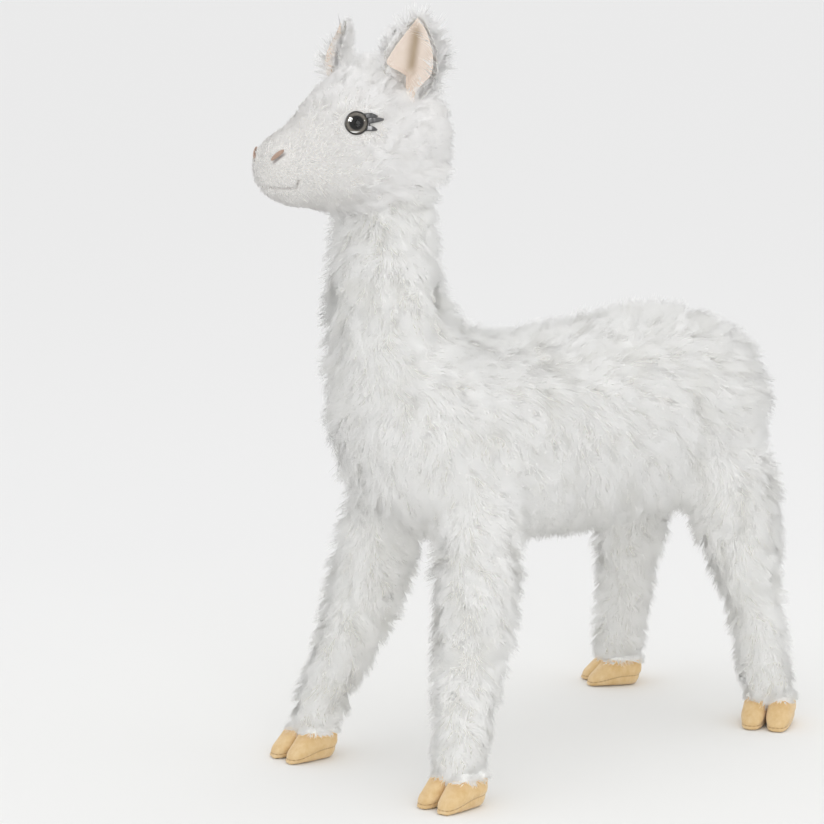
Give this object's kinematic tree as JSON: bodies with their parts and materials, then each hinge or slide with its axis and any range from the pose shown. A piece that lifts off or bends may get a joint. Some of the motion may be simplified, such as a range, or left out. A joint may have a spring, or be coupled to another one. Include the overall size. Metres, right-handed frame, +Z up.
{
  "type": "standing plush alpaca",
  "caption": "Large white plush alpaca that stands on its own splayed legs, with cupped lined ears, glossy eyes, a tail tuft and cloven tan hooves.",
  "frame": {"origin": "on the floor, in the middle of the toy's box", "axes": "+Z up; the toy faces -Y and its left side is +X"},
  "size_m": [0.3824, 0.8294, 0.9421],
  "materials": {
    "white_fleece": "long pile fleece",
    "tan_suede": "brushed suede cloth",
    "peach_suede": "brushed suede cloth",
    "black_plastic": "gloss",
    "clear_plastic": "polished",
    "white_plastic": "plain",
    "frame_wire": "drawn wire"
  },
  "bodies": {
    "root": {"body": "white_fleece", "head": "white_fleece", "ear_left": "white_fleece", "ear_right": "white_fleece", "tail": "white_fleece", "leg_front_left": "white_fleece", "leg_front_right": "white_fleece", "leg_rear_left": "white_fleece", "leg_rear_right": "white_fleece", "toe_outer_front_left": "tan_suede", "toe_inner_front_left": "tan_suede", "toe_outer_front_right": "tan_suede", "toe_inner_front_right": "tan_suede", "toe_outer_rear_left": "tan_suede", "toe_inner_rear_left": "tan_suede", "toe_outer_rear_right": "tan_suede", "toe_inner_rear_right": "tan_suede", "ear_lining_left": "peach_suede", "ear_lining_right": "peach_suede", "nostril_left": "peach_suede", "nostril_right": "peach_suede", "eye_cup_left": "black_plastic", "eye_cup_right": "black_plastic", "eyelash_left": "black_plastic", "eyelash_right": "black_plastic", "eye_dome_left": "clear_plastic", "eye_dome_right": "clear_plastic", "eye_washer_left": "white_plastic", "eye_washer_right": "white_plastic", "frame_wire_front": "frame_wire", "frame_wire_rear": "frame_wire"}
  },
  "joints": []
}
